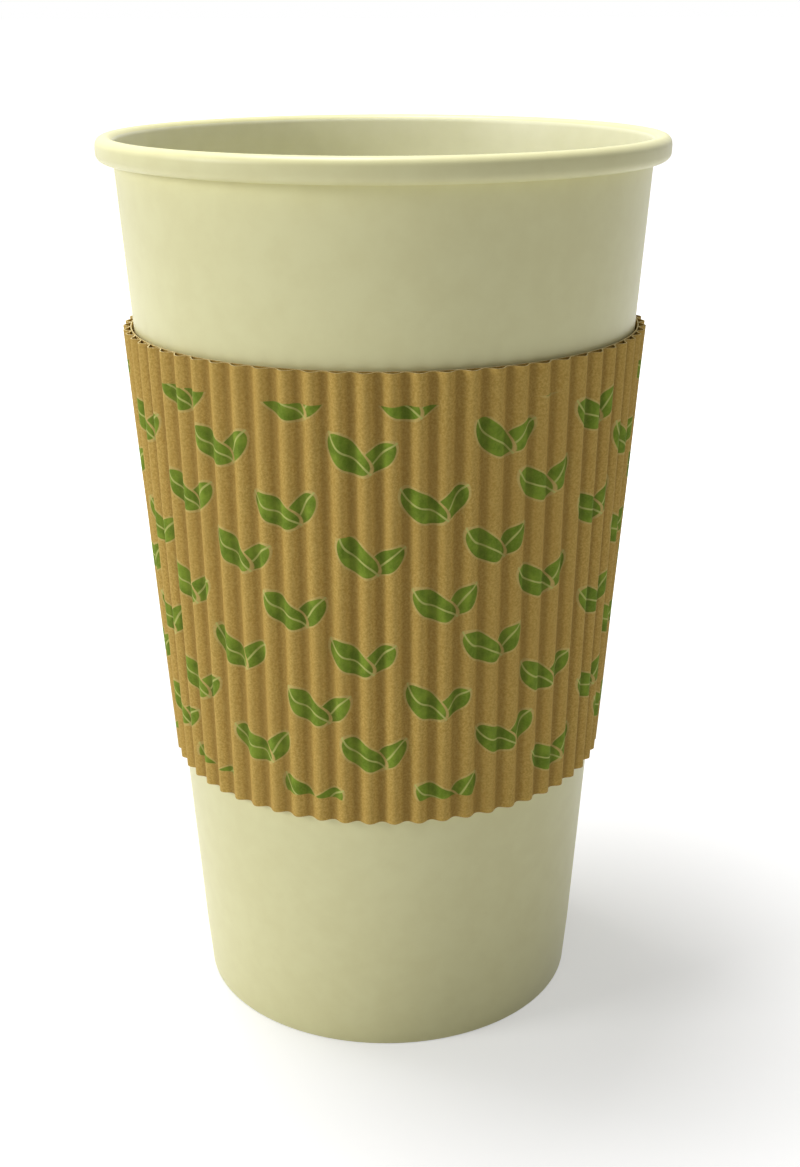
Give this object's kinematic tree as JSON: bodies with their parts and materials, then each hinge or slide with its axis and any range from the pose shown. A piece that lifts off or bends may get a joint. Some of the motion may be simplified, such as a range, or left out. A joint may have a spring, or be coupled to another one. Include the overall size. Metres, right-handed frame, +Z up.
{
  "type": "paper coffee cup",
  "caption": "Tall tapered paper cup with a rolled lip and a recessed base, held in a corrugated kraft sleeve with printed coffee beans; rests on its foot.",
  "frame": {"origin": "on the cup's axis, in the plane that the foot rests on", "axes": "+Z up along the cup's axis, towards the open mouth; -Y towards the front, with the sleeve's seam at the back on +Y"},
  "size_m": [0.09, 0.09, 0.1465],
  "materials": {
    "cup_board": "satin",
    "liner_kraft": "matte",
    "fluted_kraft": "matte"
  },
  "bodies": {
    "root": {"cup_wall": "cup_board", "cup_bottom": "cup_board", "sleeve_liner": "liner_kraft", "sleeve_flutes": "fluted_kraft"}
  },
  "joints": []
}
